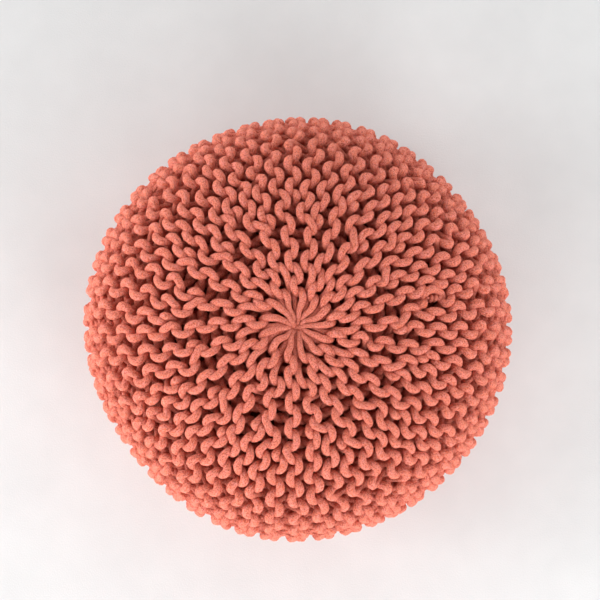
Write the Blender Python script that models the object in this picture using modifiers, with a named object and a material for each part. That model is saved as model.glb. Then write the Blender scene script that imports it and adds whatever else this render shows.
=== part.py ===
# A round knitted pouf, filled until it is firm.
# Its cover is one strip of thick yarn, knitted sideways in garter stitch. The ridges of the
# knitting run from the gathered middle of the top, over the side, to the middle of the
# underside. Rows that turn back short of the middle let each pair of ridges close into one on
# its way to the gather, which is what makes the flat strip round. Cover and filling are
# modelled as one filled solid.

import math
from collections import namedtuple

import bpy

# Driving sizes, in metres. The origin is the middle of the base, on the floor.
WIDTH = 0.503               # across the widest height, over the ridges, before the side's waves
DOME_HEIGHT = 0.306         # where the crown would peak if its middle weren't drawn in
WIDEST_HEIGHT = 0.142       # height at which the side bulges most
BASE_RADIUS = 0.150         # flat disc that the weight presses on the floor
CROWN_FULLNESS = 2.7        # exponent of the crown's curve; 2 is an ellipse

GATHER_RADIUS = 0.060       # where the ridges become the strands of the gather
GATHER_SINK = 0.016         # depth of the hollow at the middle of the gather
GATHER_SINK_RADIUS = 0.042  # how far that hollow spreads

RIDGE_HEIGHT = 0.0085       # how proud a ridge stands of the groove beside it
RIDGE_FLANK = 0.68          # height halfway down a ridge's flank, as a share of the ridge
STRAND_SHARE = 0.75         # height of the gather's strands, as a share of a ridge
MERGE_LENGTH = 0.022        # length over which two ridges close into one

# One repeat of the knitting: pairs of ridges, and how far from the middle each pair closes
# into one ridge, at the turn of the short rows between them
Pair = namedtuple("Pair", "kind turns_at")
REPEAT = (
    Pair("inner turn", 0.105),
    Pair("outer turn", 0.132),
)
REPEATS = 13
RIDGES = REPEATS * len(REPEAT) * 2

# Hand knitting is uneven: low waves round the side, and ridges that crowd to one side
Wave = namedtuple("Wave", "bumps height phase_deg")
SIDE_WAVES = (
    Wave(2, 0.0015, 152.0),
    Wave(3, 0.0010, 28.0),
    Wave(4, 0.0018, 79.0),
    Wave(6, 0.0006, 9.0),
)
FIRST_RIDGE_DEG = -3.0
CROWDING_DEG = 3.2          # how far a ridge strays from its even place
CROWDING_TOWARDS_DEG = 115.0

# Mesh steps
STEPS_PER_RIDGE = 4
CROWN_RINGS = 15
SIDE_RINGS = 7
MERGE = 0.00001

YARN_COLOUR = (0.78, 0.20, 0.13, 1.0)
YARN_ROUGHNESS = 0.9


def clear_scene():
    for old in list(bpy.data.objects):
        bpy.data.objects.remove(old, do_unlink=True)


def make_collection(name):
    group = bpy.data.collections.new(name)
    bpy.context.scene.collection.children.link(group)
    return group


def yarn_material():
    yarn = bpy.data.materials.new("coral_yarn")
    yarn.use_nodes = True
    shader = yarn.node_tree.nodes["Principled BSDF"]
    shader.inputs["Base Color"].default_value = YARN_COLOUR
    shader.inputs["Roughness"].default_value = YARN_ROUGHNESS
    shader.inputs["Metallic"].default_value = 0.0
    yarn.diffuse_color = YARN_COLOUR
    return yarn


def smooth_step(value, low, high):
    # 0 below low, 1 above high, and an even S between them
    share = min(1.0, max(0.0, (value - low) / (high - low)))
    return share * share * (3.0 - 2.0 * share)


def crown_height(radius):
    # height of the groove surface over the crown, with the hollow of the gather
    side_radius = WIDTH / 2 - RIDGE_HEIGHT
    top = DOME_HEIGHT - RIDGE_HEIGHT
    share = min(1.0, radius / side_radius)
    dome = (1.0 - share ** CROWN_FULLNESS) ** (1.0 / CROWN_FULLNESS)
    sink = GATHER_SINK * math.exp(-(radius / GATHER_SINK_RADIUS) ** 2)
    return WIDEST_HEIGHT + (top - WIDEST_HEIGHT) * dome - sink


def section():
    # half of the upright section, from the middle of the top down to the middle of the base
    side_radius = WIDTH / 2 - RIDGE_HEIGHT
    points = []
    for ring in range(CROWN_RINGS):
        radius = side_radius * math.sin(math.pi / 2 * ring / CROWN_RINGS)
        points.append((radius, crown_height(radius)))
    for ring in range(SIDE_RINGS + 1):
        turn = math.pi / 2 * ring / SIDE_RINGS
        radius = BASE_RADIUS + (side_radius - BASE_RADIUS) * math.cos(turn)
        points.append((radius, WIDEST_HEIGHT * (1.0 - math.sin(turn))))
    points.append((0.0, 0.0))
    return points


def turned_body(name):
    # the section turned about the upright axis, with one column for each step of a ridge
    points = section()
    outline = bpy.data.meshes.new(name + "_section")
    corners = [(radius, 0.0, height) for radius, height in points]
    edges = [(i, i + 1) for i in range(len(points) - 1)]
    outline.from_pydata(corners, edges, [])
    half = bpy.data.objects.new(name + "_section", outline)
    bpy.context.scene.collection.objects.link(half)
    screw = half.modifiers.new("turn", "SCREW")
    screw.axis = "Z"
    screw.angle = math.tau
    screw.steps = RIDGES * STEPS_PER_RIDGE
    screw.render_steps = screw.steps
    screw.use_merge_vertices = True
    screw.merge_threshold = MERGE
    screw.use_smooth_shade = True
    ready = half.evaluated_get(bpy.context.evaluated_depsgraph_get())
    body = bpy.data.meshes.new_from_object(ready)
    body.name = name
    bpy.data.objects.remove(half, do_unlink=True)
    bpy.data.meshes.remove(outline)
    return body


def ridge_shape(phase):
    # 1 on a ridge's crest (whole phase), 0 in the groove (half phase), full and round between
    off_crest = abs(phase - round(phase)) * 2.0
    power = math.log(1.0 - RIDGE_FLANK) / math.log(0.5)
    return 1.0 - off_crest ** power


def ridge_relief(phase, radius, on_crown):
    # how proud of the groove surface the knitting stands; on the crown the groove inside
    # each pair of ridges fills until the two are one
    if not on_crown:
        return RIDGE_HEIGHT * ridge_shape(phase)
    pair_phase = (phase - 0.5) / 2.0
    pair = REPEAT[round(pair_phase) % len(REPEAT)]
    apart = smooth_step(radius, pair.turns_at - MERGE_LENGTH, pair.turns_at)
    merged = ridge_shape(pair_phase)
    shape = merged + (ridge_shape(phase) - merged) * apart
    gathered = smooth_step(radius, 0.0, GATHER_RADIUS)
    strand = STRAND_SHARE + (1.0 - STRAND_SHARE) * gathered
    return RIDGE_HEIGHT * shape * strand * smooth_step(radius, 0.0, GATHER_RADIUS / 2)


def crowded(even_angle):
    # where the hand knitting puts a column that would stand at an even angle
    lean = math.cos(even_angle - math.radians(CROWDING_TOWARDS_DEG))
    return even_angle + math.radians(FIRST_RIDGE_DEG - CROWDING_DEG * lean)


def side_wave(angle):
    return sum(
        wave.height * math.cos(wave.bumps * (angle - math.radians(wave.phase_deg)))
        for wave in SIDE_WAVES
    )


def knit(body):
    # raise the ridges along the turned body's own normals, then set the hand's unevenness
    phases_per_turn = RIDGES / math.tau
    side_radius = WIDTH / 2 - RIDGE_HEIGHT
    normals = [vertex.normal.copy() for vertex in body.vertices]
    for vertex, normal in zip(body.vertices, normals):
        place = vertex.co
        radius = math.hypot(place.x, place.y)
        if radius < MERGE:
            continue
        even_angle = math.atan2(place.y, place.x)
        on_crown = place.z > WIDEST_HEIGHT
        relief = ridge_relief(even_angle * phases_per_turn, radius, on_crown)
        outward = normal.x * math.cos(even_angle) + normal.y * math.sin(even_angle)
        on_side = smooth_step(radius, GATHER_RADIUS, side_radius)
        angle = crowded(even_angle)
        reach = radius + relief * outward + side_wave(angle) * on_side
        height = max(0.0, place.z + relief * normal.z)
        vertex.co = (reach * math.cos(angle), reach * math.sin(angle), height)
    body.update()


def make_pouf():
    group = make_collection("knitted_pouf")
    body = turned_body("knitted_pouf")
    knit(body)
    body.materials.append(yarn_material())
    body.shade_smooth()
    pouf = bpy.data.objects.new("knitted_pouf", body)
    group.objects.link(pouf)


clear_scene()
make_pouf()
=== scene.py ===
import math

import bpy
import numpy as np
from mathutils import Matrix, Vector


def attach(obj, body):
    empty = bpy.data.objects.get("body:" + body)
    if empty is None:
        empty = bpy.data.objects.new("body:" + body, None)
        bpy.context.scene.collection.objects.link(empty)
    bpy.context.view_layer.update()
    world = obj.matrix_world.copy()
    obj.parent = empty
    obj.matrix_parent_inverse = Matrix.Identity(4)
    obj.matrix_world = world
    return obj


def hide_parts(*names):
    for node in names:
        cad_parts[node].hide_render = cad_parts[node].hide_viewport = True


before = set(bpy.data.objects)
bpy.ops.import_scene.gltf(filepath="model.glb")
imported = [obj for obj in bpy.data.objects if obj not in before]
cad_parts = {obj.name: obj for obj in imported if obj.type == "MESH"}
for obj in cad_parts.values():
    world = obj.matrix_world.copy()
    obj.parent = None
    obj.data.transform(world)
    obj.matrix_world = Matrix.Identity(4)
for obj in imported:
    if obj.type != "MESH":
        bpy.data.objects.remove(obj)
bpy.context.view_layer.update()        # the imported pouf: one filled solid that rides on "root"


# the form under the knitting, in metres
form = {
    "sideRadius": 0.2410,      # of the middle of the fabric, at the widest height
    "domeHeight": 0.2905,      # where the crown would peak without the gather's hollow
    "widestHeight": 0.1420,
    "crownFullness": 2.7,
    "baseRadius": 0.1500,      # flat on the floor inside this
    "baseHeight": 0.0108,      # middle of the fabric above the floor
    "hollowDepth": 0.004,      # at the middle of the gather
    "hollowRadius": 0.042,
    # low waves round the side: how many, height and degrees
    "waves": ((2, 0.0015, 152.0), (3, 0.0010, 28.0), (4, 0.0018, 79.0), (6, 0.0006, 9.0)),
    "wavesFrom": 0.06,         # they fade towards this radius
    "firstRidge": -3.0,        # degrees
    "crowding": 3.2,           # how far a ridge strays from its even place
    "crowdingTowards": 115.0,
    "stretchedFrom": 0.200,    # the fabric thins from this radius out, over the bulge
    "stretchedTo": 0.238,
    "stretchedShare": 0.42,    # of its thickness that it keeps there
    "crownSteps": 1600,        # of the section, as first drawn
    "baseSteps": 400,
    "evenSteps": 2600,         # of the section, once its steps are even
}


def smoothStep(value, low, high):
    share = np.clip((value - low) / (high - low), 0.0, 1.0)
    return share * share * (3.0 - 2.0 * share)


def makeMeridian(f):
    # the section from the middle of the top to the middle of the base, by distance run
    turn = np.linspace(0.0, math.pi / 2, f["crownSteps"])
    r = f["sideRadius"] * np.sin(turn)
    share = np.minimum(r / f["sideRadius"], 1.0)
    dome = (1.0 - share ** f["crownFullness"]) ** (1.0 / f["crownFullness"])
    z = f["widestHeight"] + (f["domeHeight"] - f["widestHeight"]) * dome
    z -= f["hollowDepth"] * np.exp(-(r / f["hollowRadius"]) ** 2)
    turn = turn[1:]
    sideR = f["baseRadius"] + (f["sideRadius"] - f["baseRadius"]) * np.cos(turn)
    sideZ = f["widestHeight"] - (f["widestHeight"] - f["baseHeight"]) * np.sin(turn)
    baseR = np.linspace(f["baseRadius"], 0.0, f["baseSteps"])[1:]
    r = np.concatenate([r, sideR, baseR])
    z = np.concatenate([z, sideZ, np.full(len(baseR), f["baseHeight"])])
    run = np.concatenate([[0.0], np.cumsum(np.hypot(np.diff(r), np.diff(z)))])
    even = np.linspace(0.0, run[-1], f["evenSteps"])
    r, z = np.interp(even, run, r), np.interp(even, run, z)
    slopeR, slopeZ = np.gradient(r, even), np.gradient(z, even)
    size = np.hypot(slopeR, slopeZ)
    return {"s": even, "r": r, "z": z, "nr": -slopeZ / size, "nz": slopeR / size}


def thickShare(f, meridian, s):
    # how thick the fabric is, from 1 on the crown to less where the filling stretches it
    r = np.interp(s, meridian["s"], meridian["r"])
    return 1.0 - (1.0 - f["stretchedShare"]) * smoothStep(r, f["stretchedFrom"], f["stretchedTo"])


def crowded(f, angle):
    lean = np.cos(angle - math.radians(f["crowdingTowards"]))
    return angle + np.radians(f["firstRidge"] - f["crowding"] * lean)


def onForm(f, meridian, s, evenAngle, lift):
    # points that stand proud of the form by lift, and the form's normals there
    angle = crowded(f, evenAngle)
    r = np.interp(s, meridian["s"], meridian["r"])
    z = np.interp(s, meridian["s"], meridian["z"])
    nr = np.interp(s, meridian["s"], meridian["nr"])
    nz = np.interp(s, meridian["s"], meridian["nz"])
    wave = sum(h * np.cos(n * (angle - math.radians(p))) for n, h, p in f["waves"])
    r = r + wave * smoothStep(r, f["wavesFrom"], f["sideRadius"])
    reach = r + lift * nr
    x, y = np.cos(angle), np.sin(angle)
    return (np.stack([reach * x, reach * y, z + lift * nz], -1),
            np.stack([nr * x, nr * y, nz], -1))


meridian = makeMeridian(form)

knit = {
    "yarn": 0.0084,            # thickness of the cord
    "slackFrom": 0.11,         # the yarn slackens from this radius of the crown out
    "slackTo": 0.20,
    # each pair is for taut yarn near the gather, and for slack yarn towards the side
    "arcFullness": (1.04, 1.24),     # as a share of the cord's thickness
    "legFullness": (0.94, 0.90),     # pulled tight between the arcs
    "overlap": (0.0058, 0.0080),     # how far a loop's head passes the middle of its junction
    "bow": (0.15, 0.12),             # how far a loop's head is wider than its neck
    "startLift": (0.0150, 0.0130),   # of heads over the form before the yarn settles
    "tipFullness": 0.60,       # squeezed in the middle of the gather
    "squeezedWithin": 0.038,   # of the middle of the gather
    "turnEvents": 26,          # short rows that turn back on the crown
    "wales": 22,               # stitches from gather to gather
    "gatherRadius": 0.031,     # where the stitches start, top and underside
    "startsAt": (1, 0),        # first stitch of the long rows, by turns
    "turnsAt": (3, 4),         # first stitch of the short rows, by turns
    "turnBlend": 0.7,          # of a stitch, either side of a turn, over which the ridges spread
    "loopSamples": 24,
    "loopJitter": 0.22,        # how far loops differ in reach, width and height, as a share
    "placeJitter": 0.0009,     # and in place
    "heightShare": 0.5,        # how much of it a loop's height takes
    "liftKept": 0.95,          # share of it that the settled yarn tends to
    "strandStep": 0.0026,      # between points of the gather's strands
    "meetingLine": 0.0070,     # the strands meet along this short line
    "tipSpread": 0.0015,       # how far the strands' ends miss it
    "tipShort": (-0.0040, 0.0030),     # they end past it or short of it
    "strandFullness": (0.84, 1.10),    # thinnest and thickest strand
    "strandWander": 0.0050,    # how far the strands weave sideways
    "strandArch": 0.0050,      # how far they rise between their ends
    "tipLift": (0.0030, 0.0090),       # lowest and highest end
    "crossingAt": 12.0,        # degrees: this way lies the strand that crosses the middle
    "crossingReach": 0.0060,
    "crossingLift": 0.0060,
    "strandDrop": 0.0015,      # how far the strand that leaves lies under the one that arrives
    "edgeDip": 0.0060,         # how far a row's edge loop reaches past its first stitch
    "edgeSteps": 16,
    "turnBulge": 0.0060,       # of the small loop where a short row turns back
    "turnSteps": 3,
    "evenWithin": 0.08,        # of the gathers, the hand's unevenness fades
    "usualRadius": 0.16,       # that turns a length round the pouf into an angle
    # size, waves around, waves down and phase
    "unevenness": ((0.0016, 3, 21.0, 0.4), (0.0012, 7, 34.0, 2.1), (0.0010, 11, 15.0, 4.4),
                   (0.0008, 17, 47.0, 1.3)),
    "swayDown": -1.3,          # the sideways waves, set against the lengthwise ones
    "swayPhase": 2.0,
    # a larger hole, a seam that gapes a little and the opening round the darned-in end:
    # distance down the form, degrees, push and reach
    "looseSpots": ((0.108, 246.6, 0.0048, 0.014), (0.078, 47.0, 0.0012, 0.010),
                   (0.106, 46.0, 0.0016, 0.012), (0.137, 45.0, 0.0014, 0.012),
                   (0.155, 14.0, 0.0085, 0.015)),
    "seed": 25,
}


def buildCourses(k, meridian):
    # every course's place round the pouf, at every distance down the meridian
    s, r = meridian["s"], meridian["r"]
    topEdge = s[np.argmax(r > k["gatherRadius"])]
    lowEdge = s[len(r) - 1 - np.argmax(r[::-1] > k["gatherRadius"])]
    stitch = (lowEdge - topEdge) / k["wales"]
    count = k["turnEvents"] * 4
    firstWale = np.zeros(count, int)
    endWale = np.zeros(count, int)
    weights = np.ones((count, len(s)))
    for course in range(count):
        event, role = divmod(course, 4)
        short = k["turnsAt"][event % 2]
        long = k["startsAt"][event % 2]
        firstWale[course] = short if role in (1, 2) else long
        endWale[course] = k["wales"] - (short if role in (2, 3) else long)
        starts = topEdge + firstWale[course] * stitch
        ends = topEdge + endWale[course] * stitch
        reach = k["turnBlend"] * stitch
        if firstWale[course] > 0:
            weights[course] *= smoothStep(s, starts - reach, starts + reach)
        if endWale[course] < k["wales"]:
            weights[course] *= 1.0 - smoothStep(s, ends - reach, ends + reach)
    centre = (np.cumsum(weights, 0) - weights / 2) / weights.sum(0) * count
    return {
        "count": count, "stitch": stitch, "topEdge": topEdge, "lowEdge": lowEdge,
        "end": s[-1], "firstWale": firstWale, "endWale": endWale,
        "angles": (centre / 2 - 0.5) * 4 * math.pi / count,
    }


def between(pair, slack):
    return pair[0] + (pair[1] - pair[0]) * slack


def neighbour(courses, course, wale, step):
    # the next course, one way or the other, that has a stitch in this wale
    other = course + step
    while not (courses["firstWale"][other % courses["count"]] <= wale
               < courses["endWale"][other % courses["count"]]):
        other += step
    return other


def angleOf(courses, meridian, course, s):
    turns, inside = divmod(course, courses["count"])
    return np.interp(s, meridian["s"], courses["angles"][inside]) + turns * math.tau


def coursePath(k, f, courses, meridian, course, random):
    # one course's loops from its first wale to its last: distance, angle, lift and thickness
    samples = k["loopSamples"]
    t = (np.arange(samples) + 0.5) / samples * math.tau
    r = meridian["r"]
    parts = []
    workedFromFront = course % 2 == 0
    for wale in range(courses["firstWale"][course], courses["endWale"][course]):
        reach, width, height, shift = random.uniform(-1.0, 1.0, 4) * k["loopJitter"]
        middle = courses["topEdge"] + courses["stitch"] * (wale + 0.5)
        slack = smoothStep(np.interp(middle, meridian["s"], r), k["slackFrom"], k["slackTo"])
        bow = between(k["bow"], slack) * (1.0 + width) * np.sin(2 * t)
        u = courses["topEdge"] + courses["stitch"] * (wale + t / math.tau + bow)
        u += shift / k["loopJitter"] * k["placeJitter"]
        own = angleOf(courses, meridian, course, u)
        before = angleOf(courses, meridian, neighbour(courses, course, wale, -1), u)
        after = angleOf(courses, meridian, neighbour(courses, course, wale, 1), u)
        past = between(k["overlap"], slack) * (1.0 + reach) / np.interp(u, meridian["s"], r)
        head = (own + after) / 2 + past
        foot = (own + before) / 2 - past
        rise = (1 - np.cos(t)) / 2
        side = -1.0 if workedFromFront else 1.0
        lift = side * between(k["startLift"], slack) * (1.0 + k["heightShare"] * height) * np.cos(t)
        lift *= thickShare(f, meridian, u)
        arc, leg = between(k["arcFullness"], slack), between(k["legFullness"], slack)
        thick = arc + (leg - arc) * np.sin(t) ** 2
        parts.append(np.stack([u, foot + (head - foot) * rise, lift, thick], -1))
    return np.concatenate(parts)


def gatherLeg(k, courses, outer, corner, cornerLift, toTop, wander):
    # one strand of the gather, from a course's end to its corner near the middle
    far = outer[0] if toTop else courses["end"] - outer[0]
    foot = far * np.array([math.cos(outer[1]), math.sin(outer[1])])
    span = corner - foot
    total = max(4, int(np.hypot(*span) / k["strandStep"]))
    q = (np.arange(total) + 0.5) / total
    sideways = np.array([-span[1], span[0]]) / np.hypot(*span)
    reach, phase, fullness = wander
    weave = reach * np.sin(q * math.pi) * np.sin((q + phase) * math.tau)
    place = foot + span * q[:, None] + sideways * weave[:, None]
    s = np.hypot(place[:, 0], place[:, 1])
    angle = np.arctan2(place[:, 1], place[:, 0])
    lift = outer[2] + (cornerLift - outer[2]) * (1.0 - (1.0 - q) ** 3)
    lift += k["strandArch"] * np.sin(q * math.pi)
    s = s if toTop else courses["end"] - s
    return np.stack([s, angle, lift, np.full(total, fullness)], -1)


def gatherStrand(k, courses, start, end, toTop, random):
    # from one course's last loop in to the middle of the gather, and out to the next's first
    meet = (start[1] + end[1]) / 2
    towards = np.array([math.cos(meet), math.sin(meet)])
    corner = random.uniform(-1.0, 1.0, 2) * k["tipSpread"]
    corner[0] += towards[0] * k["meetingLine"] / 2
    corner += towards * random.uniform(*k["tipShort"])
    lift = random.uniform(*k["tipLift"])
    offCrossing = abs((math.degrees(meet) - k["crossingAt"] + 180.0) % 360.0 - 180.0)
    if toTop and offCrossing < 180.0 / k["turnEvents"] * 2:
        corner = -k["crossingReach"] * towards
        lift = k["crossingLift"]
    legs = []
    for outer, drop in ((start, 0.0), (end, k["strandDrop"])):
        wander = (random.uniform(-1.0, 1.0) * k["strandWander"], random.uniform(0.0, 1.0),
                  random.uniform(*k["strandFullness"]))
        legs.append(gatherLeg(k, courses, outer, corner, lift - drop, toTop, wander))
    return np.concatenate([legs[0], legs[1][::-1]])


def edgeStrand(k, start, end, toTop):
    # from a row that starts one stitch early to the next long row's first loop
    inner = min(start[0], end[0]) - k["edgeDip"] if toTop else max(start[0], end[0]) + k["edgeDip"]
    corner = np.array([inner, (start[1] + end[1]) / 2, (start[2] + end[2]) / 2])
    q = (np.arange(1, k["edgeSteps"] + 1) / (k["edgeSteps"] + 1))[:, None]
    curve = (1 - q) ** 2 * start[:3] + 2 * q * (1 - q) * corner + q ** 2 * end[:3]
    return np.concatenate([curve, np.ones((k["edgeSteps"], 1))], 1)


def turnStrand(k, start, end, toTop):
    q = (np.arange(1, k["turnSteps"] + 1) / (k["turnSteps"] + 1))[:, None]
    curve = start[:3] + (end[:3] - start[:3]) * q
    curve[:, 0] += np.sin(q[:, 0] * math.pi) * (-k["turnBulge"] if toTop else k["turnBulge"])
    return np.concatenate([curve, np.ones((k["turnSteps"], 1))], 1)


def layYarn(k, f, courses, meridian):
    # the whole yarn, course by course, in the order in which it was knitted
    random = np.random.default_rng(k["seed"])
    paths = []
    for course in range(courses["count"]):
        path = coursePath(k, f, courses, meridian, course, random)
        paths.append(path if course % 2 == 0 else path[::-1])
    pieces, events = [], []
    for course in range(courses["count"]):
        event, role = divmod(course, 4)
        path = paths[course]
        following = paths[(course + 1) % courses["count"]][0].copy()
        if course + 1 == courses["count"]:
            following[1] += math.tau
        atTop = role in (1, 3)
        if role in (1, 2):
            join = turnStrand(k, path[-1], following, atTop)
        elif k["startsAt"][event % 2] == 0:
            join = gatherStrand(k, courses, path[-1], following, atTop, random)
        else:
            join = edgeStrand(k, path[-1], following, atTop)
        pieces += [path, join]
        events += [event] * (len(path) + len(join))
    return np.concatenate(pieces), np.array(events)


def uneven(k, courses, meridian, path):
    # the hand's unevenness, shared by neighbouring stitches
    s, angle = path[:, 0].copy(), path[:, 1].copy()
    edge = smoothStep(s, 0.0, k["evenWithin"])
    edge *= smoothStep(courses["end"] - s, 0.0, k["evenWithin"])
    for size, around, down, phase in k["unevenness"]:
        path[:, 0] += edge * size * np.sin(around * angle + down * s + phase)
        sway = np.sin(around * angle + k["swayDown"] * down * s + k["swayPhase"] * phase)
        path[:, 1] += edge * size / k["usualRadius"] * sway
    for far, degrees, push, reach in k["looseSpots"]:
        radius = np.interp(far, meridian["s"], meridian["r"])
        down = s - far
        across = ((angle - math.radians(degrees) + math.pi) % math.tau - math.pi) * radius
        off = np.hypot(down, across) + 1e-6
        strength = push * np.exp(-(off / reach) ** 2) / off
        path[:, 0] += strength * down
        path[:, 1] += strength * across / radius
    return path


def nearPairs(points, reach, apart):
    # pairs of points nearer than reach, leaving out those close together along the yarn
    cell = np.floor((points - points.min(0)) / reach).astype(np.int64) + 1
    size = cell.max(0) + 2
    key = (cell[:, 0] * size[1] + cell[:, 1]) * size[2] + cell[:, 2]
    order = np.argsort(key, kind="stable")
    sortedKey = key[order]
    steps = [(x, y, z) for x in (-1, 0, 1) for y in (-1, 0, 1) for z in (-1, 0, 1)]
    firsts, seconds = [], []
    for x, y, z in steps[len(steps) // 2:]:    # half of them, so each pair is found once
        other = key + (x * size[1] + y) * size[2] + z
        low = np.searchsorted(sortedKey, other, "left")
        high = np.searchsorted(sortedKey, other, "right")
        found = high - low
        i = np.repeat(np.arange(len(points)), found)
        offset = np.arange(len(i)) - np.repeat(np.cumsum(found) - found, found)
        j = order[np.repeat(low, found) + offset]
        if (x, y, z) == (0, 0, 0):
            keep = i < j
            i, j = i[keep], j[keep]
        keep = np.abs(i - j) > apart
        i, j = i[keep], j[keep]
        gap = points[i] - points[j]
        keep = (gap * gap).sum(1) < reach * reach
        firsts.append(i[keep])
        seconds.append(j[keep])
    return np.concatenate(firsts), np.concatenate(seconds)


def addAt(total, index, values):
    for axis in range(3):
        total[:, axis] += np.bincount(index, values[:, axis], len(total))


settle = {
    "rounds": 12,              # neighbours are looked up once a round
    "stepsPerRound": 12,
    "touch": 0.0056,           # yarns squash to this distance
    "lookFor": 1.25,           # neighbours within this share of it
    "apart": 4,                # points nearer along the yarn than this don't push
    "shrink": 0.97,            # how much tighter the yarn is than first laid
    "lengthJitter": 0.05,      # how far loops differ in length
    "lengthSeed": 5,
    "push": 0.28,              # share of each fault that one step mends
    "pull": 0.35,
    "stop": 0.40,
    "holdPlace": 0.03,         # back to where it was laid
    "holdLift": 0.09,
    "lowestLift": -0.0135,     # where the filled bag stops the yarn
    "highestLift": 0.0110,     # how proud the middle of a yarn may stand
    "floorGap": 0.0008,
    "stiffness": 0.18,         # of the yarn against bending
    "longestStep": 0.0012,
}


def settleYarn(k, s, points, normals, lift, share, thick, jitter):
    # lets the yarns push each other apart, pull tight and lie down on the bag
    start = points.copy()
    want = start + normals * (lift * (k["liftKept"] - 1.0))[:, None]
    along = np.linalg.norm(np.diff(points, axis=0), axis=1)
    rest = along * s["shrink"] * jitter[1:]
    touch = s["touch"] / k["yarn"] * thick
    for _ in range(s["rounds"]):
        i, j = nearPairs(points, s["touch"] * s["lookFor"], s["apart"])
        limit = (touch[i] + touch[j]) / 2
        for _ in range(s["stepsPerRound"]):
            move = np.zeros_like(points)
            gap = points[i] - points[j]
            far = np.sqrt((gap * gap).sum(1)) + 1e-9
            push = np.clip(limit - far, 0.0, None)
            shove = gap * (s["push"] * push / far)[:, None]
            addAt(move, i, shove)
            addAt(move, j, -shove)
            gap = np.diff(points, axis=0)
            far = np.sqrt((gap * gap).sum(1)) + 1e-9
            pull = gap * (s["pull"] * (far - rest) / far)[:, None]
            move[:-1] += pull
            move[1:] -= pull
            middle = (points[:-2] + points[2:]) / 2
            move[1:-1] += s["stiffness"] * (middle - points[1:-1])
            move += s["holdPlace"] * (want - points)
            up = ((points - start) * normals).sum(1) + lift
            move += normals * (s["holdLift"] * (lift * k["liftKept"] - up))[:, None]
            low = np.clip(s["lowestLift"] * share - up, 0.0, None)
            high = np.clip(up - s["highestLift"] * share, 0.0, None)
            move += normals * (s["stop"] * (low - high))[:, None]
            size = np.sqrt((move * move).sum(1))
            move *= np.minimum(1.0, s["longestStep"] / (size + 1e-12))[:, None]
            points = points + move
            points[:, 2] = np.maximum(points[:, 2], thick / 2 + s["floorGap"])
    return points


courses = buildCourses(knit, meridian)
path, event = layYarn(knit, form, courses, meridian)
path = uneven(knit, courses, meridian, path)
points, normals = onForm(form, meridian, path[:, 0], path[:, 1], path[:, 2])
print("yarn laid:", len(points), "points, stitch", round(courses["stitch"] * 1000, 1), "mm")

fromMiddle = np.hypot(points[:, 0], points[:, 1])
loose = between((knit["tipFullness"], 1.0),
                smoothStep(fromMiddle, 0.0, knit["squeezedWithin"]))
thick = knit["yarn"] * path[:, 3] * loose
random = np.random.default_rng(settle["lengthSeed"])
marks = np.arange(0, len(points) + knit["loopSamples"], knit["loopSamples"])
jitter = 1.0 + settle["lengthJitter"] * np.interp(
    np.arange(len(points)), marks, random.uniform(-1, 1, len(marks)))
points = settleYarn(knit, settle, points, normals, path[:, 2],
                    thickShare(form, meridian, path[:, 0]), thick, jitter)
print("yarn settled")


woundEnd = {
    "at": (0.155, 14.0),       # distance down the form and degrees round it
    "turns": 4.0,
    "pitch": 0.0048,
    "radius": 0.0028,
    "lift": 0.0060,
    "fullness": 0.56,
    "stepsPerTurn": 12,
}


def windEnd(w):
    # the yarn's end, wound round a strand where it was darned in
    far, degrees = w["at"]
    turn = np.linspace(0.0, w["turns"], int(w["turns"] * w["stepsPerTurn"]) + 1)
    s = far + (turn - w["turns"] / 2) * w["pitch"]
    radius = np.interp(far, meridian["s"], meridian["r"])
    angle = math.radians(degrees) + w["radius"] * np.sin(turn * math.tau) / radius
    lift = w["lift"] + w["radius"] * np.cos(turn * math.tau)
    return onForm(form, meridian, s, angle, lift)[0]


def newMaterial(name):
    material = bpy.data.materials.new(name)
    material.use_nodes = True
    tree = material.node_tree
    shader = tree.nodes["Principled BSDF"]
    return material, tree, shader


def addNode(tree, kind, **values):
    node = tree.nodes.new(kind)
    for name, value in values.items():
        if hasattr(node, name):
            setattr(node, name, value)
        else:
            node.inputs[name].default_value = value
    return node


# colours are those of the flecks, then the pinker patches and the shade between fibres
coral = {
    "light": (0.88, 0.340, 0.282, 1.0),
    "deep": (0.80, 0.112, 0.010, 1.0),
    "pink": (0.88, 0.280, 0.320, 1.0),
    "speck": (0.60, 0.37, 0.27, 1.0),
    "fleckScale": 700.0,       # flecks per metre
    "fleckSpan": (0.27, 0.71),         # range of the flecks' noise that the colours span
    "grainScale": 760.0,       # of the finer fibres
    "grainSpan": (0.34, 0.56),
    "tintScale": 300.0,        # of the pinker patches
    "tintSpan": (0.45, 0.70),
    "tintShare": 0.30,
    "fuzzHeight": 0.0030,
    "fuzzStrength": 0.7,
    "roughness": 0.95,
    "sheen": 0.40,
    "sheenTint": (1.0, 0.36, 0.22, 1.0),
    "specular": 0.70,
}


# each noise's output, detail and roughness
fleckNoises = (("Fleck", 2.5, 0.8), ("Grain", 1.0, 0.6))


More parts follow.
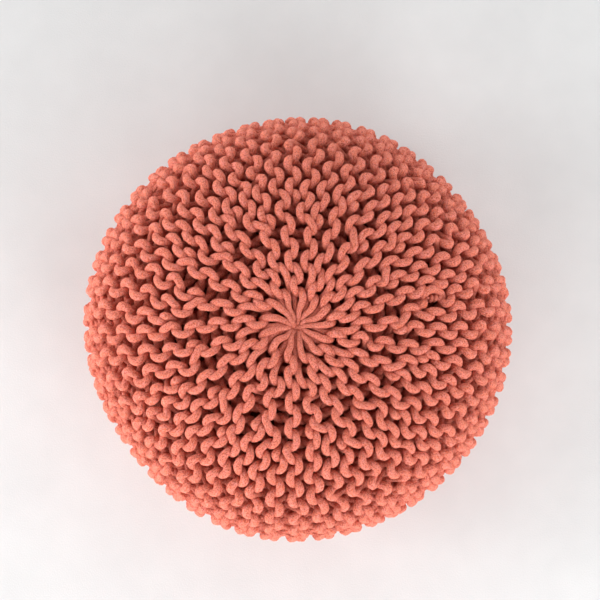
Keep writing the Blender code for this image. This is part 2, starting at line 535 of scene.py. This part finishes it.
def makeFleckGroup(noises):
    # coarse flecks, finer grain and the relief of both, for yarn, bag and floor alike
    group = bpy.data.node_groups.new("flecksAndGrain", "ShaderNodeTree")
    face = group.interface
    face.new_socket("Vector", in_out="INPUT", socket_type="NodeSocketVector")
    face.new_socket("Fleck Scale", in_out="INPUT", socket_type="NodeSocketFloat")
    face.new_socket("Grain Scale", in_out="INPUT", socket_type="NodeSocketFloat")
    face.new_socket("Fleck", in_out="OUTPUT", socket_type="NodeSocketFloat")
    face.new_socket("Grain", in_out="OUTPUT", socket_type="NodeSocketFloat")
    face.new_socket("Height", in_out="OUTPUT", socket_type="NodeSocketFloat")
    source = group.nodes.new("NodeGroupInput")
    result = group.nodes.new("NodeGroupOutput")
    height = addNode(group, "ShaderNodeMath", operation="ADD")
    for slot, (name, detail, rough) in enumerate(noises):
        noise = addNode(group, "ShaderNodeTexNoise", Detail=detail, Roughness=rough)
        group.links.new(source.outputs["Vector"], noise.inputs["Vector"])
        group.links.new(source.outputs[name + " Scale"], noise.inputs["Scale"])
        group.links.new(noise.outputs["Fac"], height.inputs[slot])
        group.links.new(noise.outputs["Fac"], result.inputs[name])
    group.links.new(height.outputs["Value"], result.inputs["Height"])
    return group


fleckGroup = makeFleckGroup(fleckNoises)


def addFlecks(tree, vector, fleckScale, grainScale):
    flecks = addNode(tree, "ShaderNodeGroup", node_tree=fleckGroup)
    flecks.inputs["Fleck Scale"].default_value = fleckScale
    flecks.inputs["Grain Scale"].default_value = grainScale
    tree.links.new(vector, flecks.inputs["Vector"])
    return flecks.outputs


def addBump(tree, shader, height, distance, strength):
    bump = addNode(tree, "ShaderNodeBump", Distance=distance, Strength=strength)
    tree.links.new(height, bump.inputs["Height"])
    tree.links.new(bump.outputs["Normal"], shader.inputs["Normal"])


def addRamp(tree, value, stops):
    ramp = addNode(tree, "ShaderNodeValToRGB")
    for element, (place, colour) in zip(ramp.color_ramp.elements, stops):
        element.position = place
        element.color = colour
    tree.links.new(value, ramp.inputs["Fac"])
    return ramp.outputs["Color"]


def addMix(tree, kind, share, first, second):
    mix = addNode(tree, "ShaderNodeMix", data_type="RGBA", blend_type=kind)
    for value, socket in ((share, mix.inputs["Factor"]), (first, mix.inputs["A"]),
                          (second, mix.inputs["B"])):
        if isinstance(value, bpy.types.NodeSocket):
            tree.links.new(value, socket)
        else:
            socket.default_value = value
    return mix.outputs["Result"]


def makeYarnMaterial(c):
    # flecked, softly fuzzy cotton; the flecks follow the yarn
    material, tree, shader = newMaterial("coralYarn")
    space = addNode(tree, "ShaderNodeAttribute", attribute_name="yarnSpace").outputs["Vector"]
    flecks = addFlecks(tree, space, c["fleckScale"], c["grainScale"])
    body = addRamp(tree, flecks["Fleck"], ((c["fleckSpan"][0], c["deep"]),
                                           (c["fleckSpan"][1], c["light"])))
    tint = addNode(tree, "ShaderNodeTexNoise", Scale=c["tintScale"])
    tree.links.new(space, tint.inputs["Vector"])
    most = (c["tintShare"], c["tintShare"], c["tintShare"], 1.0)
    blush = addRamp(tree, tint.outputs["Fac"], ((c["tintSpan"][0], (0.0, 0.0, 0.0, 1.0)),
                                                (c["tintSpan"][1], most)))
    tinted = addMix(tree, "MIX", blush, body, c["pink"])
    speck = addRamp(tree, flecks["Grain"], ((c["grainSpan"][0], c["speck"]),
                                            (c["grainSpan"][1], (1.0, 1.0, 1.0, 1.0))))
    tree.links.new(addMix(tree, "MULTIPLY", 1.0, tinted, speck), shader.inputs["Base Color"])
    addBump(tree, shader, flecks["Height"], c["fuzzHeight"], c["fuzzStrength"])
    shader.inputs["Roughness"].default_value = c["roughness"]
    shader.inputs["Sheen Weight"].default_value = c["sheen"]
    shader.inputs["Sheen Tint"].default_value = c["sheenTint"]
    shader.inputs["Specular IOR Level"].default_value = c["specular"]
    return material


yarnMaterial = makeYarnMaterial(coral)


sweep = {
    "sides": 10,
    "sections": 6,             # pieces that the whole yarn is shown as
    "lumpHeight": 0.0012,
    "lumpsPerMetre": 480.0,
}


def makeSweepTree():
    # a tube along the yarn, a little lumpy, as soft cotton is
    tree = bpy.data.node_groups.new("sweepYarn", "GeometryNodeTree")
    face = tree.interface
    face.new_socket("Geometry", in_out="INPUT", socket_type="NodeSocketGeometry")
    face.new_socket("Thickness", in_out="INPUT", socket_type="NodeSocketFloat")
    face.new_socket("Sides", in_out="INPUT", socket_type="NodeSocketInt")
    face.new_socket("Lump Height", in_out="INPUT", socket_type="NodeSocketFloat")
    face.new_socket("Lumps Per Metre", in_out="INPUT", socket_type="NodeSocketFloat")
    face.new_socket("Material", in_out="INPUT", socket_type="NodeSocketMaterial")
    face.new_socket("Geometry", in_out="OUTPUT", socket_type="NodeSocketGeometry")
    source = tree.nodes.new("NodeGroupInput")
    result = tree.nodes.new("NodeGroupOutput")
    links = tree.links

    line = tree.nodes.new("GeometryNodeMeshToCurve")
    links.new(source.outputs["Geometry"], line.inputs["Mesh"])
    far = tree.nodes.new("GeometryNodeSplineParameter")
    keepFar = tree.nodes.new("GeometryNodeStoreNamedAttribute")
    keepFar.data_type = "FLOAT"
    keepFar.inputs["Name"].default_value = "along"
    links.new(line.outputs["Curve"], keepFar.inputs["Geometry"])
    links.new(far.outputs["Length"], keepFar.inputs["Value"])

    half = tree.nodes.new("ShaderNodeMath")
    half.operation = "MULTIPLY"
    half.inputs[1].default_value = 0.5
    links.new(source.outputs["Thickness"], half.inputs[0])
    ring = tree.nodes.new("GeometryNodeCurvePrimitiveCircle")
    links.new(source.outputs["Sides"], ring.inputs["Resolution"])
    links.new(half.outputs[0], ring.inputs["Radius"])
    place = tree.nodes.new("GeometryNodeInputPosition")
    keepRing = tree.nodes.new("GeometryNodeStoreNamedAttribute")
    keepRing.data_type = "FLOAT_VECTOR"
    keepRing.inputs["Name"].default_value = "ring"
    links.new(ring.outputs["Curve"], keepRing.inputs["Geometry"])
    links.new(place.outputs["Position"], keepRing.inputs["Value"])

    fullness = tree.nodes.new("GeometryNodeInputNamedAttribute")
    fullness.data_type = "FLOAT"
    fullness.inputs["Name"].default_value = "fullness"
    tube = tree.nodes.new("GeometryNodeCurveToMesh")
    tube.inputs["Fill Caps"].default_value = True
    links.new(keepFar.outputs["Geometry"], tube.inputs["Curve"])
    links.new(keepRing.outputs["Geometry"], tube.inputs["Profile Curve"])
    links.new(fullness.outputs["Attribute"], tube.inputs["Scale"])

    getRing = tree.nodes.new("GeometryNodeInputNamedAttribute")
    getRing.data_type = "FLOAT_VECTOR"
    getRing.inputs["Name"].default_value = "ring"
    getFar = tree.nodes.new("GeometryNodeInputNamedAttribute")
    getFar.data_type = "FLOAT"
    getFar.inputs["Name"].default_value = "along"
    upright = tree.nodes.new("ShaderNodeCombineXYZ")
    links.new(getFar.outputs["Attribute"], upright.inputs["Z"])
    add = tree.nodes.new("ShaderNodeVectorMath")
    links.new(getRing.outputs["Attribute"], add.inputs[0])
    links.new(upright.outputs["Vector"], add.inputs[1])
    keepSpace = tree.nodes.new("GeometryNodeStoreNamedAttribute")
    keepSpace.data_type = "FLOAT_VECTOR"
    keepSpace.inputs["Name"].default_value = "yarnSpace"
    links.new(tube.outputs["Mesh"], keepSpace.inputs["Geometry"])
    links.new(add.outputs["Vector"], keepSpace.inputs["Value"])

    lumps = tree.nodes.new("ShaderNodeTexNoise")
    lumps.inputs["Detail"].default_value = 1.0
    links.new(source.outputs["Lumps Per Metre"], lumps.inputs["Scale"])
    links.new(place.outputs["Position"], lumps.inputs["Vector"])
    centred = tree.nodes.new("ShaderNodeMath")
    centred.operation = "SUBTRACT"
    centred.inputs[1].default_value = 0.5
    links.new(lumps.outputs["Fac"], centred.inputs[0])
    height = tree.nodes.new("ShaderNodeMath")
    height.operation = "MULTIPLY"
    links.new(centred.outputs[0], height.inputs[0])
    links.new(source.outputs["Lump Height"], height.inputs[1])
    outward = tree.nodes.new("GeometryNodeInputNormal")
    push = tree.nodes.new("ShaderNodeVectorMath")
    push.operation = "SCALE"
    links.new(outward.outputs["Normal"], push.inputs[0])
    links.new(height.outputs[0], push.inputs["Scale"])
    shape = tree.nodes.new("GeometryNodeSetPosition")
    links.new(keepSpace.outputs["Geometry"], shape.inputs["Geometry"])
    links.new(push.outputs["Vector"], shape.inputs["Offset"])

    smooth = tree.nodes.new("GeometryNodeSetShadeSmooth")
    links.new(shape.outputs["Geometry"], smooth.inputs["Geometry"])
    real = tree.nodes.new("GeometryNodeRealizeInstances")
    links.new(smooth.outputs["Geometry"], real.inputs["Geometry"])
    dress = tree.nodes.new("GeometryNodeSetMaterial")
    links.new(real.outputs["Geometry"], dress.inputs["Geometry"])
    links.new(source.outputs["Material"], dress.inputs["Material"])
    links.new(dress.outputs["Geometry"], result.inputs["Geometry"])
    return tree


def socketId(tree, name):
    return next(i.identifier for i in tree.interface.items_tree
                if i.in_out == "INPUT" and i.name == name)


def sweepSection(tree, name, points, fullness, thickness, w, material, breakAfter):
    # one stretch of the yarn as a plain mesh tube; a new strand starts after breakAfter
    mesh = bpy.data.meshes.new(name)
    edges = [(i, i + 1) for i in range(len(points) - 1) if i != breakAfter]
    mesh.from_pydata([tuple(p) for p in points], edges, [])
    layer = mesh.attributes.new("fullness", "FLOAT", "POINT")
    layer.data.foreach_set("value", np.asarray(fullness, np.float32))
    guide = bpy.data.objects.new(name + "_guide", mesh)
    bpy.context.scene.collection.objects.link(guide)
    modifier = guide.modifiers.new("sweep", "NODES")
    modifier.node_group = tree
    modifier[socketId(tree, "Thickness")] = float(thickness)
    modifier[socketId(tree, "Sides")] = w["sides"]
    modifier[socketId(tree, "Lump Height")] = w["lumpHeight"]
    modifier[socketId(tree, "Lumps Per Metre")] = w["lumpsPerMetre"]
    modifier[socketId(tree, "Material")] = material
    ready = guide.evaluated_get(bpy.context.evaluated_depsgraph_get())
    plain = bpy.data.meshes.new_from_object(ready)
    plain.name = name
    bpy.data.objects.remove(guide, do_unlink=True)
    bpy.data.meshes.remove(mesh)
    piece = bpy.data.objects.new(name, plain)
    bpy.context.scene.collection.objects.link(piece)
    return piece


sweepTree = makeSweepTree()
cuts = [round(knit["turnEvents"] * i / sweep["sections"]) for i in range(sweep["sections"] + 1)]
endPoints = windEnd(woundEnd)
for number in range(sweep["sections"]):
    chosen = np.flatnonzero((event >= cuts[number]) & (event < cuts[number + 1]))
    line, fullness = points[chosen], (thick / knit["yarn"])[chosen]
    if number == 0:
        line = np.concatenate([line, endPoints])
        fullness = np.concatenate([fullness, np.full(len(endPoints), woundEnd["fullness"])])
    piece = sweepSection(sweepTree, f"knitting_{number + 1}", line, fullness, knit["yarn"], sweep,
                         yarnMaterial, len(chosen) - 1)
    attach(piece, "root")
    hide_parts("knitted_pouf")
    print(piece.name, len(piece.data.polygons), "faces")


bag = {
    "lift": -0.0195,           # of its skin, from the middle of the knitting
    "steps": 192,              # round the pouf
    "rings": 72,
    "light": (0.360, 0.095, 0.020, 1.0),
    "dark": (0.190, 0.045, 0.010, 1.0),
    "weaveScale": 900.0,
    "grainScale": 1800.0,
    "weaveSpan": (0.3, 0.7),   # range of the weave's noise that the colours span
    "weaveHeight": 0.0008,
    "weaveStrength": 1.0,
    "roughness": 0.95,
}


def makeBagMaterial(b):
    # dark brown cloth
    material, tree, shader = newMaterial("brownBag")
    place = addNode(tree, "ShaderNodeTexCoord").outputs["Object"]
    weave = addFlecks(tree, place, b["weaveScale"], b["grainScale"])
    colour = addRamp(tree, weave["Fleck"], ((b["weaveSpan"][0], b["dark"]),
                                            (b["weaveSpan"][1], b["light"])))
    tree.links.new(colour, shader.inputs["Base Color"])
    addBump(tree, shader, weave["Height"], b["weaveHeight"], b["weaveStrength"])
    shader.inputs["Roughness"].default_value = b["roughness"]
    return material


def makeBag(b):
    # the filled bag inside, which shows only as the dark of the holes
    s = np.linspace(0.0, meridian["s"][-1], b["rings"] + 1)
    lift = b["lift"] * thickShare(form, meridian, s)
    count = b["steps"]
    around = np.arange(count) / count * math.tau
    rings = [onForm(form, meridian, np.full(count, s[i]), around, np.full(count, lift[i]))[0]
             for i in range(1, b["rings"])]
    top = onForm(form, meridian, s[:1], s[:1], lift[:1])[0]
    base = onForm(form, meridian, s[-1:], s[:1], lift[-1:])[0]
    corners = np.concatenate(rings + [top, base])
    faces = []
    last = len(rings) - 1
    for i in range(count):
        j = (i + 1) % count
        faces.append((len(corners) - 2, i, j))
        faces.append((len(corners) - 1, last * count + j, last * count + i))
        faces += [(ring * count + i, (ring + 1) * count + i,
                   (ring + 1) * count + j, ring * count + j) for ring in range(last)]
    mesh = bpy.data.meshes.new("filling_bag")
    mesh.from_pydata([tuple(corner) for corner in corners], [], faces)
    mesh.shade_smooth()
    mesh.materials.append(makeBagMaterial(b))
    piece = bpy.data.objects.new("filling_bag", mesh)
    bpy.context.scene.collection.objects.link(piece)
    return piece


bagPiece = makeBag(bag)
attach(bagPiece, "root")
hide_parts("knitted_pouf")
print(bagPiece.name, len(bagPiece.data.polygons), "faces")


studio = {
    "floorSize": 14.0,
    "floorLight": (0.728, 0.736, 0.742, 1.0),
    "floorDark": (0.688, 0.696, 0.702, 1.0),
    "floorPatches": 9.0,       # uneven paint, per metre
    "floorSpan": (0.3, 0.7),
    "floorGrain": 500.0,
    "floorRelief": 0.0004,
    "floorStrength": 0.5,
    "floorRoughness": 0.7,
    "wallLight": (2.68, 2.68, 2.66, 1.0),
    "ceilingLight": (0.0, 0.0, 0.0, 1.0),
    # name, place, width and watts
    "lamps": (("window", (-2.40, 0.00, 0.60), 1.0, 39.0), ("panel", (1.26, -1.80, 1.20), 1.3, 29.0),
              ("farWindow", (-2.50, -4.33, 0.80), 2.4, 105.0)),
    "camera": (0.0165, -0.0340, 2.05),
    "aim": (0.0027, 0.0334, 0.15),
    "lampAim": (0.0, 0.0, 0.15),
    "filmWidth": 36.0,         # millimetres
    "viewHalf": 0.1876,        # tangent of half the view's angle
}


def makeFloor(s):
    mesh = bpy.data.meshes.new("floor")
    h = s["floorSize"] / 2
    mesh.from_pydata([(-h, -h, 0), (h, -h, 0), (h, h, 0), (-h, h, 0)], [], [(0, 1, 2, 3)])
    floor = bpy.data.objects.new("floor", mesh)
    bpy.context.scene.collection.objects.link(floor)
    material, tree, shader = newMaterial("paleFloor")
    place = addNode(tree, "ShaderNodeTexCoord").outputs["Object"]
    paint = addFlecks(tree, place, s["floorPatches"], s["floorGrain"])
    colour = addRamp(tree, paint["Fleck"], ((s["floorSpan"][0], s["floorDark"]),
                                            (s["floorSpan"][1], s["floorLight"])))
    tree.links.new(colour, shader.inputs["Base Color"])
    addBump(tree, shader, paint["Grain"], s["floorRelief"], s["floorStrength"])
    shader.inputs["Roughness"].default_value = s["floorRoughness"]
    mesh.materials.append(material)


def aimAt(thing, target):
    # faces the target, with +Y towards the top of the picture
    forward = (Vector(target) - thing.location).normalized()
    right = forward.cross(Vector((0.0, 1.0, 0.0))).normalized()
    up = right.cross(forward)
    thing.rotation_euler = Matrix((right, up, -forward)).transposed().to_euler()


def makeLights(s):
    # pale walls all round, brighter than the ceiling
    world = bpy.data.worlds.new("studio")
    world.use_nodes = True
    tree = world.node_tree
    way = addNode(tree, "ShaderNodeTexCoord")
    split = addNode(tree, "ShaderNodeSeparateXYZ")
    tree.links.new(way.outputs["Generated"], split.inputs["Vector"])
    room = addRamp(tree, split.outputs["Z"], ((0.0, s["wallLight"]), (1.0, s["ceilingLight"])))
    tree.links.new(room, tree.nodes["Background"].inputs["Color"])
    bpy.context.scene.world = world
    for name, place, width, power in s["lamps"]:
        lamp = bpy.data.lights.new(name, "AREA")
        lamp.shape = "DISK"
        lamp.size = width
        lamp.energy = power
        holder = bpy.data.objects.new(name, lamp)
        holder.location = place
        bpy.context.scene.collection.objects.link(holder)
        aimAt(holder, s["lampAim"])


def makeCamera(s):
    lens = bpy.data.cameras.new("camera")
    lens.sensor_width = s["filmWidth"]
    lens.lens = s["filmWidth"] / 2 / s["viewHalf"]
    camera = bpy.data.objects.new("camera", lens)
    camera.location = s["camera"]
    bpy.context.scene.collection.objects.link(camera)
    aimAt(camera, s["aim"])
    bpy.context.scene.camera = camera


makeFloor(studio)
makeLights(studio)
makeCamera(studio)
bpy.context.scene.view_settings.view_transform = "Standard"
print("studio ready")
